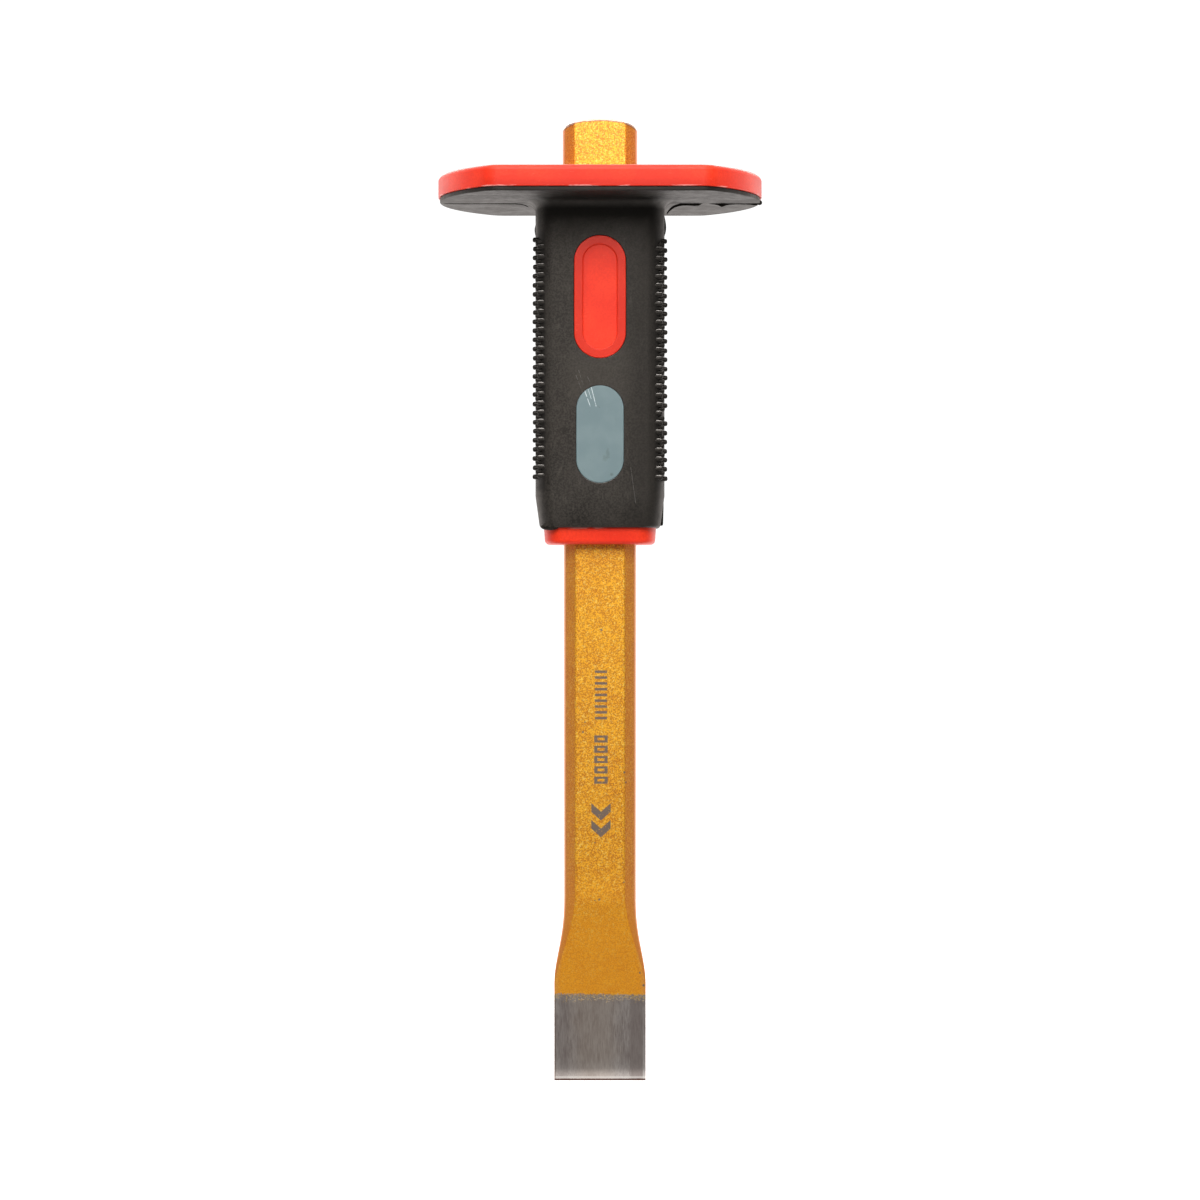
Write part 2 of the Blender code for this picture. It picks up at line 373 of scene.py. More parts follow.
# gold coat and bare steel of the chisel
coat = {
    "gold": colour(250, 184, 36),
    "deepGold": colour(200, 116, 6),
    "flareShadeGold": colour(250, 158, 12),
    "darkFleck": colour(150, 84, 18),
    "paintedShadeGold": colour(204, 104, 6),
    "brightFlake": colour(255, 230, 112),
    "paintedEdgeLight": colour(196, 172, 152),
    "mauveGold": colour(208, 158, 122),
    "crumb": colour(196, 176, 96),
    "wornRimAndShade": colour(142, 92, 58),
    "wornCrownAndHighlight": colour(228, 212, 194),
    "chip": colour(104, 92, 80),
    "stamp": colour(112, 96, 84),
    "speckleSize": 0.35,
    "flakeSize": 0.38,
    "struckFrom": 293.0,
    "crownCurve": 0.0118,
    "crownLift": 0.22,
    "crownRadius": 9.9,
    "crownEdgeSlope": 0.8,
    "roughness": 0.42,
    "metal": 0.62,
    "lacquer": 0.75,
    "lacquerRoughness": 0.26,
    "relief": 0.035,
    # x, z and radius of each chip on the front
    "chips": (
        (-4.7, 112.2, 0.35), (-5.3, 109.0, 0.45), (7.6, 96.5, 0.5), (8.0, 93.4, 0.35),
        (-0.2, 57.0, 0.5), (7.4, 62.3, 0.3), (-1.6, 56.7, 0.3), (-1.6, 74.7, 0.3),
        (12.4, 34.1, 0.4), (13.6, 30.1, 0.6), (0.4, 140.8, 0.5),
    ),
}


def coatColour(spot, x, z, sideways, facing):
    # cloudy gold with fine flakes; painted shade makes it more orange on the flare and darker on the
    # chamfers and sides, and a painted reflection makes it a little paler by the edges
    cloud = spot.grain(9.0, 3.0, 0.55).ease(0.35, 0.68)
    speckle = spot.grain(coat["speckleSize"], 1.0, 0.5).ease(0.4, 0.6)
    flake = spot.flakes(coat["flakeSize"])
    rounded = sideways.ease(0.97, 0.93)
    # half the bar's width, following the flare
    drop, fall = bar["flareTop"] - z, bar["flareTop"] - bar["flareBottom"]
    flared = x.calc("DIVIDE", drop, fall, clamp=True)
    edgeAt = x.calc("POWER", flared, bar["flareSkew"]).ease(0, 1, bar["width"] / 2, bladeWidth / mm / 2)
    nearEdge = (edgeAt - abs(x)).ease(2.3, 0.2) * rounded
    return paint(
        coat,
        (speckle * 0.85 + cloud * 0.15).blend(coat["deepGold"], coat["gold"]),
        # painted shade: deeper orange low on the bar, where less light reaches
        (z.ease(72.0, 46.0, 0, 0.55), "flareShadeGold"),
        (flake.ease(0.8, 1.0) * z.ease(34.0, 72.0, 0.15, 0.5), "brightFlake"),
        (flake.ease(0.14, 0.0) * z.ease(46.0, 72.0, 0.05, 0.15), "darkFleck"),
        # painted reflection: paler and mauve by the rounded edges
        (sideways.ease(0.74, 0.88) * rounded * 0.3, "paintedEdgeLight"),
        (nearEdge * 0.22, "mauveGold"),
        # painted shade: darker orange on faces turned away from front and back
        (abs(facing).ease(0.95, 0.6, 0, 0.6), "paintedShadeGold"),
    )


def wornAndLitEnd(spot, x, y, z, rise, gold):
    # the struck end is worn brown at its rim, with painted shade there too, and bright on its crown,
    # partly worn bare and partly a painted highlight on up-facing faces
    square = x * x + y * y
    past = (x.calc("SQRT", square) - coat["crownRadius"]).most(0.0)
    crownFall = square * coat["crownCurve"] - coat["crownLift"] + past * coat["crownEdgeSlope"]
    uneven = (spot.grain(0.7, 3.0, 0.6) - 0.5) * 0.7
    belowRim = chiselHigh.z / mm - z - crownFall + uneven
    struck = z.ease(coat["struckFrom"], coat["struckFrom"] + 1)
    rim = belowRim.ease(0.95, 0.75) * struck
    # faces that look up are paler: a painted highlight
    crown = belowRim.ease(0.58, 0.46).most(rise.ease(0.5, 0.8)) * struck
    return paint(coat, gold, (rim * 0.75, "wornRimAndShade"), (crown * 0.85, "wornCrownAndHighlight")), crown


def chipMask(spot, x, z, front):
    # small chips through the coat, placed on the front and scattered all round
    ragged = (spot.grain(0.5, 3.0, 0.6) - 0.5) * 0.8
    chips = None
    for chipX, chipZ, radius in coat["chips"]:
        chip = (lengthOf(x - chipX, z - chipZ) + ragged).ease(radius, radius * 0.4)
        chips = chip if chips is None else chips.most(chip)
    return (chips * front).most(spot.grain(2.2, 4.0, 0.75).ease(0.735, 0.76) * 0.8)


# generic mark on the front: heights above its bottom, half widths, and shares of each repeat
stamp = {
    "centre": 0.3,
    "bottom": 75.5,
    "soft": 0.06,
    "chevrons": {"heights": (2.2, 7.4), "slope": 0.9, "half": 1.35, "reach": 3.0},
    "blocks": {"start": 17.0, "pitch": 3.2, "middle": 25.0, "halfRun": 8.0, "reach": 2.1, "hollow": 1.1},
    "ticks": {"start": 37.0, "pitch": 1.8, "middle": 45.1, "halfRun": 8.1, "reach": 1.9},
    "blockShare": (0.36, 0.33),
    "hollowShare": (0.14, 0.12),
    "tickShare": (0.24, 0.2),
}


def stampMask(spot, x, z):
    up = z - stamp["bottom"]
    across = abs(x - stamp["centre"])

    def within(value, limit, soft=stamp["soft"]):
        return value.ease(limit + soft, limit - soft)

    def repeats(row):
        # distance from the middle of each repeat, and the length of the whole run
        beat = abs(up.calc("FRACT", (up - row["start"]) / row["pitch"]) - 0.5)
        return beat, within(abs(up - row["middle"]), row["halfRun"], 0.02)

    chevrons, blocks, ticks = stamp["chevrons"], stamp["blocks"], stamp["ticks"]
    slanted = up - across * chevrons["slope"]
    low, high = (within(abs(slanted - height), chevrons["half"]) for height in chevrons["heights"])
    shape = low.most(high) * within(across, chevrons["reach"])
    beat, run = repeats(blocks)
    hollow = beat.ease(*stamp["hollowShare"]) * within(across, blocks["hollow"])
    block = beat.ease(*stamp["blockShare"]) * within(across, blocks["reach"]) * (1 - hollow)
    shape = shape.most(block * run)
    beat, run = repeats(ticks)
    shape = shape.most(beat.ease(*stamp["tickShare"]) * within(across, ticks["reach"]) * run)
    return shape * spot.grain(0.5, 2.0, 0.6).ease(0.28, 0.42)


# bare steel of the cutting end
ground = {
    "steel": colour(212, 203, 196),
    "darkSteel": colour(158, 144, 139),
    "warmSteel": colour(204, 186, 168),
    "brightSteel": colour(250, 246, 240),
    "edgeBrown": colour(112, 70, 54),
    "paintLine": 27.35,
    "paintTilt": 0.018,
    "raggedness": 1.2,
    "crumbsFrom": 24.0,
    "roughness": 0.36,
}


def bareMask(spot, x, z):
    # 1 below the ragged end of the coat, with crumbs of coat left just under it
    line = ground["paintLine"]
    ragged = (spot.stretch(1, 1, 0.3).grain(0.9, 4.0, 0.7) - 0.5) * (2 * ground["raggedness"])
    bare = (z + ragged + x * ground["paintTilt"]).ease(line + 0.12, line - 0.12)
    crumbs = spot.grain(0.45, 2.0, 0.6) + (z - line) * 0.055
    kept = crumbs.ease(0.45, 0.52) * z.ease(ground["crumbsFrom"], ground["crumbsFrom"] + 1) * 0.6
    return bare * (1 - kept)


def steelColour(spot, x, z, sideways, grind):
    # ground along its length, in bands, hairs and patches
    bands = spot.stretch(1, 1, 0.01).grain(4.0, 2.0, 0.5)
    hairs = spot.stretch(1, 1, 0.12).grain(0.4, 3.0, 0.65)
    patches = spot.stretch(1, 1, 0.4).grain(2.6, 3.0, 0.6)
    tone = grind * 0.3 + bands * 0.2 + hairs * 0.25 + patches * 0.25
    middle = abs(x + 1.5 + (spot.grain(6.0, 2.0, 0.5) - 0.5) * 6).ease(9.5, 3.0)
    right = (x + (bands - 0.5) * 2.5).ease(8.6, 10.2) * abs(x).ease(13.6, 12.8)
    left = (x + (patches - 0.5) * 3).ease(-8.5, -10.5) * abs(x).ease(13.2, 12.0) * 0.5
    # a painted highlight line over the brown cutting edge, and the two side edges, brown at the left and
    # with a painted glint at the right
    lineLow = z.ease(1.5, 1.15) * z.ease(0.7, 0.85)
    glint = x.ease(13.3, 13.7) * x.ease(14.1, 13.9) * z.ease(20.0, 10.0)
    return paint(
        ground,
        tone.ease(0.34, 0.66).blend(ground["darkSteel"], ground["steel"]),
        (middle * 0.35, "warmSteel"),
        (z.ease(9.0, 3.0, 0, 0.12), "brightSteel"),
        (right.most(left) * 0.6, "darkSteel"),
        (z.ease(24.0, 27.5, 0, 0.4), "darkSteel"),
        # painted highlight line above the edge, then painted shade on the side faces
        (lineLow * 0.5, "brightSteel"),
        (sideways.ease(0.5, 0.9) * 0.8, "darkSteel"),
        (x.ease(-13.6, -14.1, 0, 0.5), "edgeBrown"),
        # painted glint on the right side edge
        (glint * 0.4, "brightSteel"),
        ((z + (grind - 0.5) * 0.5).ease(0.62, 0.4, 0, 0.85), "edgeBrown"),
    )


def goldAndSteel():
    material, start, spot = startFinish("goldCoatedSteel")
    x, y, z = spot.axes()
    sideways, facing, rise = spot.node("TexCoord", output=1).axes()
    sideways = abs(sideways)
    front = y.ease(0.5, -0.5)
    gold = coatColour(spot, x, z, sideways, facing)
    gold, crown = wornAndLitEnd(spot, x, y, z, rise, gold)
    chips = chipMask(spot, x, z, front)
    stamped = stampMask(spot, x, z) * front
    bare = bareMask(spot, x, z)
    grind = spot.stretch(1, 1, 0.006).grain(0.3, 2.0, 0.6)
    pale = z.ease(27.7, 26.7) * 0.7
    gold = paint(coat, gold, (pale, "crumb"), (stamped, "stamp"), (chips * 0.9, "chip"))
    skin = bare.blend(gold, steelColour(spot, x, z, sideways, grind))
    rough = bare.ease(0, 1, coat["roughness"], ground["roughness"])
    rough = rough + (spot.grain(0.6, 2.0, 0.5) - 0.5) * 0.12
    rough = rough + chips * (1 - bare) * 0.15 + stamped * 0.1 - crown * 0.1
    pebbled = 0.8 + spot.grain(0.3, 2.0, 0.6) * 0.5 - chips * 0.6
    relief = (1 - bare) * pebbled + bare * grind * 0.35
    values = {
        "Base Color": skin,
        "Metallic": bare.ease(0, 1, coat["metal"], 1.0),
        "Roughness": rough,
        "Coat Weight": bare.ease(0, 1, coat["lacquer"], 0),
        "Coat Roughness": coat["lacquerRoughness"],
    }
    return endFinish(material, start, values, relief, coat["relief"])


# red moulded plastic
window = {
    "centre": 243.7,
    "width": 16.0,
    "height": 37.9,
    "proud": 0.3,
    "rim": 2.7,
    "recess": 0.55,
    "soften": 0.27,
    "rootDepth": 2.4,
}

plastic = {
    "red": colour(243, 59, 27),
    "deepRed": colour(230, 47, 21),
    "darkRed": colour(218, 40, 16),
    "rimRed": colour(192, 33, 10),
    "seamPaleAndHighlight": colour(250, 196, 186),
    "paleRed": colour(246, 96, 74),
    "dust": colour(250, 190, 180),
    "roughness": 0.4,
    "specular": 0.3,
    "relief": 0.03,
}


def redPlastic():
    material, start, spot = startFinish("redMouldedPlastic")
    cloud = spot.grain(14.0, 3.0, 0.5).ease(0.3, 0.7)
    fine = spot.grain(0.7, 3.0, 0.65).ease(0.36, 0.64)
    x, _, z = spot.axes()
    # the window's rim is a deeper red, and the upper part of its recess takes a painted shadow cast from
    # the rim above
    half = window["width"] / 2
    inner = half - window["rim"]
    offZ = (abs(z - window["centre"]) - (window["height"] / 2 - half)).most(0.0)
    ovalGap = lengthOf(x, offZ)
    onWindow = ovalGap.ease(half + 1.0, half + 0.5)
    inRim = ovalGap.ease(inner - 0.1, inner + 0.1) * onWindow
    fromAbove = (z - window["centre"] - x * 1.4).ease(-12.0, 16.0)
    shade = ovalGap.ease(inner - 2.4, inner) * fromAbove * onWindow * (1 - inRim)
    # painted shade as a deeper band low on the guard, a pale seam line on the guard, and a painted
    # highlight line along the collar's top
    onGuard = z.ease(270.0, 271.0)
    guardLow = z.ease(279.5, 276.0) * onGuard * abs(x).ease(42.0, 30.0)
    seam = z.ease(275.85, 275.65) * onGuard + z.ease(172.0, 172.3) * z.ease(173.0, 172.7)
    seam = seam * spot.stretch(0.2, 0.2, 1).grain(1.4, 3.0, 0.7).ease(0.5, 0.62)
    scuff = spot.stretch(0.25, 1, 1).grain(0.7, 4.0, 0.7).ease(0.62, 0.74)
    dust = spot.grain(1.3, 4.0, 0.8).ease(0.74, 0.78)
    red = paint(
        plastic,
        cloud.blend(plastic["red"], plastic["deepRed"]),
        (fine * 0.5, "darkRed"),
        (inRim * 0.62, "rimRed"),
        # painted shadow in the upper part of the recess
        (shade * 0.38, "rimRed"),
        # painted shade low on the guard
        (guardLow * 0.75, "rimRed"),
        # pale seam line on the guard, and a painted highlight line at the collar's top
        (seam * 0.45, "seamPaleAndHighlight"),
        (scuff * 0.35, "paleRed"),
        (dust * 0.3, "dust"),
    )
    rough = plastic["roughness"] + (spot.grain(3.0, 3.0, 0.6) - 0.5) * 0.16 + scuff * 0.12
    relief = spot.grain(0.35, 2.0, 0.5) * 0.4 + spot.grain(4.0, 2.0, 0.4) * 0.8
    values = {"Base Color": red, "Roughness": rough, "Specular IOR Level": plastic["specular"]}
    return endFinish(material, start, values, relief, plastic["relief"])


# black rubber
rubber = {
    "black": colour(30, 27, 24),
    "deepBlack": colour(12, 10, 8),
    "greyedAndLit": colour(66, 62, 56),
    "scratch": colour(120, 118, 114),
    "studTopHighlight": colour(196, 190, 184),
    "paintedEdgeLight": colour(120, 114, 108),
    "paintedShadeBlack": colour(8, 7, 5),
    "sheen": (1.0, 0.9, 0.82, 1.0),
    "shine": 0.38,
    "shadedFlashShine": 0.08,
    "roughness": 0.56,
    "relief": 0.05,
    "studsFrom": (183.0, 185.0),
    "studsTo": (265.0, 263.0),
    "scrapes": (
        ((-7.4, 219.5), (-4.4, 211.5), 0.03),
        ((-6.6, 221.0), (-5.2, 216.5), 0.03),
        ((-3.9, 219.0), (-2.7, 216.7), 0.04),
        ((9.5, 191.0), (11.0, 180.0), 0.03),
    ),
}


def blackRubber(name, shine):
    material, start, spot = startFinish(name)
    x, y, z = spot.axes()
    cloud = spot.stretch(1, 1, 0.5).grain(7.0, 4.0, 0.62).ease(0.36, 0.64)
    rub = spot.stretch(1, 1, 0.4).grain(1.6, 4.0, 0.7).ease(0.55, 0.78)
    pores = spot.grain(0.55, 2.0, 0.6).ease(0.38, 0.62)
    dust = spot.grain(0.8, 4.0, 0.8).ease(0.735, 0.76)
    # painted highlight: a lighter middle of the front and lighter corners at the foot
    middle = abs(x).ease(13.0, 6.0) * abs(z - 219.0).ease(13.0, 5.0)
    footHighlight = abs(x).ease(17.4, 19.2) * z.ease(192.0, 178.0) * abs(y).ease(5.0, 10.0)
    # painted shade around the studs, and a painted highlight on the tops of the inner ones
    studded = z.ease(*rubber["studsFrom"]) * z.ease(*rubber["studsTo"])
    between = studded * abs(x).ease(16.6, 17.3)
    rise = spot.node("TexCoord", output=1).axes()[2]
    upward = rise.ease(0.55, 0.9) * abs(y).ease(12.3, 12.7) * studded
    patchy = spot.grain(0.9, 3.0, 0.6).ease(0.3, 0.6, 0.4, 1.0)
    scrapes = scratchLines(x, z, rubber["scrapes"], 0.07, 0.4)
    scrapes = scrapes * y.ease(0.5, -0.5) * spot.grain(0.7, 2.0, 0.5).ease(0.3, 0.6)
    black = paint(
        rubber,
        cloud.blend(rubber["deepBlack"], rubber["black"]),
        (rub * 0.55, "greyedAndLit"),
        (pores * 0.35, "greyedAndLit"),
        (dust * 0.8, "scratch"),
        # painted highlight in the middle of the front
        (middle * 0.3, "greyedAndLit"),
        # painted highlight on the foot's corners
        (footHighlight * 0.25, "paintedEdgeLight"),
        # painted shade among the studs
        (between * 0.9, "paintedShadeBlack"),
        # painted shadow under the guard's front
        (z.ease(258.0, 270.0) * y.ease(-13.0, -14.5) * 0.8, "paintedShadeBlack"),
        # painted shade on the right of the front
        (x.ease(3.0, 15.0) * y.ease(0.0, -5.0) * 0.6, "paintedShadeBlack"),
        # painted highlight on the tops of the studs
        (upward * patchy, "studTopHighlight"),
        (scrapes * 0.55, "scratch"),
    )
    rough = rubber["roughness"] + (spot.grain(2.2, 3.0, 0.6) - 0.5) * 0.3 + (cloud - 0.5) * 0.12
    relief = spot.grain(0.22, 2.0, 0.6) * 0.35 + spot.grain(2.6, 3.0, 0.5) * 0.9
    values = {
        "Base Color": black,
        "Roughness": rough,
        "Specular IOR Level": shine,
        "Specular Tint": rubber["sheen"],
    }
    return endFinish(material, start, values, relief - scrapes * 0.5, rubber["relief"])


# blue-grey inlay
badge = {
    "grey": colour(103, 122, 125),
    "paleGrey": colour(110, 128, 130),
    "scratch": colour(232, 238, 238),
    "marks": ((2.4, 195.3, 1.7, 0.45), (1.4, 193.9, 1.0, 0.35), (3.6, 188.9, 0.5, 0.8)),
    "stain": colour(84, 100, 98),
    "roughness": 0.42,
    "relief": 0.03,
    "scratches": (
        ((-4.9, 215.2), (-3.0, 209.9), 0.09),
        ((-2.8, 216.2), (-1.2, 209.9), 0.08),
        ((-3.7, 215.2), (-2.7, 212.2), 0.04),
    ),
}


def greyInlay():
    material, start, spot = startFinish("greyInlay")
    x, y, z = spot.axes()
    cloud = spot.grain(7.0, 3.0, 0.55).ease(0.35, 0.68)
    grey = cloud.blend(badge["grey"], badge["paleGrey"])
    stains = spot.grain(1.8, 4.0, 0.7).ease(0.66, 0.74)
    grey = (stains * 0.5).blend(grey, badge["stain"])
    for stainX, stainZ, high, strength in badge["marks"]:
        gap = lengthOf((x - stainX) / 0.6, (z - stainZ) / high)
        gap = gap + (spot.grain(0.8, 3.0, 0.6) - 0.5) * 2.2
        grey = (gap.ease(1.3, 0.5) * strength).blend(grey, badge["stain"])
    scratches = scratchLines(x, z, badge["scratches"], 0.06, 0.5)
    scratches = scratches * y.ease(0.5, -0.5) * spot.grain(0.8, 2.0, 0.5).ease(0.25, 0.5)
    grey = (scratches * 0.75).blend(grey, badge["scratch"])
    rough = badge["roughness"] + (spot.grain(2.0, 3.0, 0.6) - 0.5) * 0.2
    relief = spot.grain(0.3, 2.0, 0.5) * 0.3 + spot.grain(3.0, 2.0, 0.5) * 0.6 - scratches * 0.8
    return endFinish(material, start, {"Base Color": grey, "Roughness": rough}, relief, badge["relief"])


goldFinish = goldAndSteel()
redFinish = redPlastic()
blackFinish = blackRubber("blackRubber", rubber["shine"])
# a less shiny copy of the rubber for the flash: painted shade, so its fins read dark as if shadowed
flashFinish = blackRubber("blackFlash", rubber["shadedFlashShine"])
greyFinish = greyInlay()
print("finishes made")


# the forged chisel
def barWidthAt(z):
    if z > coreHigh.z + 0.5 * mm:
        return bar["headWidth"] * mm
    part = (bar["flareTop"] * mm - z) / ((bar["flareTop"] - bar["flareBottom"]) * mm)
    part = min(max(part, 0), 1) ** bar["flareSkew"]
    return barWidth + (bladeWidth - barWidth) * part**2 * (3 - 2 * part)


def barDepthAt(z):
    stations = [(0, bar["edgeDepth"] * mm)]
    stations += [(height * mm, depth * mm) for height, depth in bar["edgeSteps"]]
    stations.append((bar["taperTop"] * mm, barDepth))
    for (low, lowDepth), (high, highDepth) in zip(stations, stations[1:]):
        if z <= high:
            return lowDepth + (highDepth - lowDepth) * (z - low) / (high - low)
    return barDepth


def barChamferAt(z):
    part = (z - bar["chamferEnd"] * mm) / ((bar["taperTop"] - bar["chamferEnd"]) * mm)
    part = min(max(part, 0), 1)
    widest = bar["chamferLeast"] * mm + (barChamfer - bar["chamferLeast"] * mm) * part
    return min(widest, barDepthAt(z) * 0.3)


def barBlank(name, low, high, grow=0.0):
    # a length of flat-octagonal bar
    blank = startBlock(name, barWidth + 2 * grow, barDepth + 2 * grow, low, high)
    editPiece(blank)
    pick("edges", isUpright)
    bevelPicked(barChamfer + grow * 0.6, 1)
    leaveEdit()
    return blank


def makeChisel():
    chisel = barBlank("chisel", 0, chiselHigh.z)
    span = (bar["flareTop"] - bar["flareBottom"]) / bar["flareSteps"]
    rings = [height for height, depth in bar["edgeSteps"]] + bar["plainRings"]
    rings += [bar["flareBottom"] + span * step for step in range(bar["flareSteps"] + 1)]
    rings = [ring * mm for ring in rings] + [coreHigh.z + 0.4 * mm, bar["headTop"] * mm]
    editPiece(chisel)
    for ring in rings:
        bpy.ops.mesh.select_all(action="SELECT")
        bpy.ops.mesh.bisect(plane_co=(0, 0, ring), plane_no=(0, 0, 1))
    sideEdge = barWidth / 2 - near
    levels = [0] + rings + [chiselHigh.z]
    for ring in levels:
        width, depth, chamfer = barWidthAt(ring), barDepthAt(ring), barChamferAt(ring)
        bpy.ops.mesh.select_mode(type="VERT")
        pick("verts", lambda vert: abs(vert.co.z - ring) < near and abs(vert.co.x) > sideEdge)
        widenPicked(width / barWidth, (depth / 2 - chamfer) / (barDepth / 2 - barChamfer), ring)
        pick(
            "verts",
            lambda vert: abs(vert.co.z - ring) < near
            and abs(abs(vert.co.x) - (barWidth / 2 - barChamfer)) < near
            and abs(abs(vert.co.y) - barDepth / 2) < near,
        )
        widenPicked((width / 2 - chamfer) / (barWidth / 2 - barChamfer), depth / barDepth, ring)
    # softer long edges, finer where the chamfer runs out
    bpy.ops.mesh.select_mode(type="EDGE")
    for low, high in zip(levels, levels[1:]):
        chamfer = min(barChamferAt(low), barChamferAt(high))
        middle = (low + high) / 2
        for atSide, radius in ((True, bar["sideRadius"]), (False, bar["frontRadius"])):
            pick(
                "edges",
                lambda edge: isUpright(edge)
                and min(vert.co.z for vert in edge.verts) < middle < max(vert.co.z for vert in edge.verts)
                and all((abs(v.co.x) > barWidthAt(v.co.z) / 2 - near) == atSide for v in edge.verts),
            )
            share = min(radius * mm, 0.36 * chamfer) / (bar["sideRadius"] * mm)
            bpy.ops.transform.edge_bevelweight(value=share)
    leaveEdit()
    modify(
        chisel,
        "BEVEL",
        limit_method="WEIGHT",
        width=bar["sideRadius"] * mm,
        segments=4,
        use_clamp_overlap=False,
    )

    # struck end: turned cone, then a shallow crown
    coneTop = chiselHigh.z - bar["coneDrop"] * mm
    coneReach = bar["coneReach"] * mm
    coneLow = coneTop - (coneReach - bar["coneRadius"] * mm)
    envelope = startDrum("headEnvelope", 96, coneReach, -10 * mm, coneLow)
    editPiece(envelope, "FACE")
    pick("faces", lambda face: face.normal.z > 0.9)
    radius, height = coneReach, coneLow
    for ringRadius, drop in ((bar["coneRadius"], bar["coneDrop"]), *bar["crownSteps"]):
        ringHeight = chiselHigh.z - drop * mm
        extrudePicked(0, 0, ringHeight - height)
        shrink = ringRadius * mm / radius
        widenPicked(shrink, shrink, ringHeight)
        radius, height = ringRadius * mm, ringHeight
    leaveEdit()
    cutWith(chisel, envelope, "INTERSECT")
    editPiece(chisel)
    rimFrom = bar["rimFrom"] * mm
    pick("edges", lambda edge: isSharp(edge, 30) and min(v.co.z for v in edge.verts) > rimFrom)
    bpy.ops.mesh.bevel(offset=bar["rimRadius"] * mm, segments=3, affect="EDGES", clamp_overlap=True)
    leaveEdit()
    faceOutwards(chisel)
    smoothShade(chisel)
    return chisel


chisel = makeChisel()
settle(chisel, "forged_chisel", goldFinish)
print("chisel made")


# guard plate, collar and window bosses of the core
guard = {
    "seam": 275.4,
    "facets": 80,
    "cornerRadius": 6.0,
    "topRadius": 1.6,
    "seamRadius": 0.25,
    "boreRadius": 0.5,
    "boreGap": 0.06,
    "discThickness": 1.4,
    "discInset": 0.5,
    "discRadius": 0.3,
}
guardWidth = coreHigh.x - coreLow.x
guardDepth = coreHigh.y - coreLow.y
guardSeam = guard["seam"] * mm


def guardBlank(name, low, high, inset):
    # a round plate with flat front and back, its corners rounded
    radius = guardWidth / 2 - inset
    half = guardDepth / 2 - inset
    plate = startDrum(name, guard["facets"], radius, low, high)
    editPiece(plate)
    for side in (-1, 1):
        bpy.ops.mesh.select_all(action="SELECT")
        bpy.ops.mesh.bisect(
            plane_co=(0, side * half, 0), plane_no=(0, side, 0), clear_outer=True, use_fill=True
        )
    pick("edges", lambda edge: isUpright(edge) and all(abs(v.co.y) > half - near for v in edge.verts))
    turn = pi / 2 - asin(half / radius)
    reach = guard["cornerRadius"] * mm * sin(turn / 2) / cos(turn / 2)
    bevelPicked(reach, 5)
    leaveEdit()
    return plate


grip = {
    "sleeveWidth": 40.1,
    "sleeveDepth": 30.0,
    "coreWidth": 35.2,
    "coreDepth": 24.4,
    "cornerAcross": 5.9,
    "cornerDeep": 8.6,
    "cornerSteps": 10,
    "collarTaper": 0.5,
    "collarRound": 1.2,
}
sleeveWidth = grip["sleeveWidth"] * mm
sleeveDepth = grip["sleeveDepth"] * mm
sleeveBottom = sleeveLow.z
collarBottom = coreLow.z


def gripBlank(name, width, depth, low, high):
    # a block with elliptical upright corners
    stretch = grip["cornerDeep"] / grip["cornerAcross"]
    blank = startBlock(name, width, depth / stretch, low, high)
    editPiece(blank)
    pick("edges", isUpright)
    bevelPicked(grip["cornerAcross"] * mm, grip["cornerSteps"])
    bpy.ops.mesh.select_all(action="SELECT")
    widenPicked(1, stretch, 0)
    leaveEdit()
    return blank


def ovalBlank(name, width, height, centre, front, back):
    # an upright oval plug that runs from front to back along y
    plug = startPiece(
        name,
        bpy.ops.mesh.primitive_cylinder_add,
        turn=(pi / 2, 0, 0),
        vertices=64,
        radius=width / 2,
        depth=back - front,
        location=(0, (front + back) / 2, centre),
    )
    editPiece(plug, "VERT")
    for side in (-1, 1):
        pick("verts", lambda vert: (vert.co.z - centre) * side > 0.001 * mm)
        bpy.ops.transform.translate(value=(0, 0, side * (height - width) / 2))
    leaveEdit()
    return plug


def makeBoss(name):
    front = -sleeveDepth / 2 - window["proud"] * mm
    back = -sleeveDepth / 2 + window["rootDepth"] * mm
    boss = ovalBlank(
        name, window["width"] * mm, window["height"] * mm, window["centre"] * mm, front, back
    )
    editPiece(boss, "FACE")
    pick("faces", lambda face: face.normal.y < -0.9)
    bpy.ops.mesh.inset(thickness=window["rim"] * mm)
    extrudePicked(0, window["recess"] * mm, 0)
    bpy.ops.mesh.select_mode(type="EDGE")
    pick("edges", lambda edge: isSharp(edge, 40) and max(v.co.y for v in edge.verts) < back - 0.5 * mm)
    bevelPicked(window["soften"] * mm, 4)
    leaveEdit()
    return boss


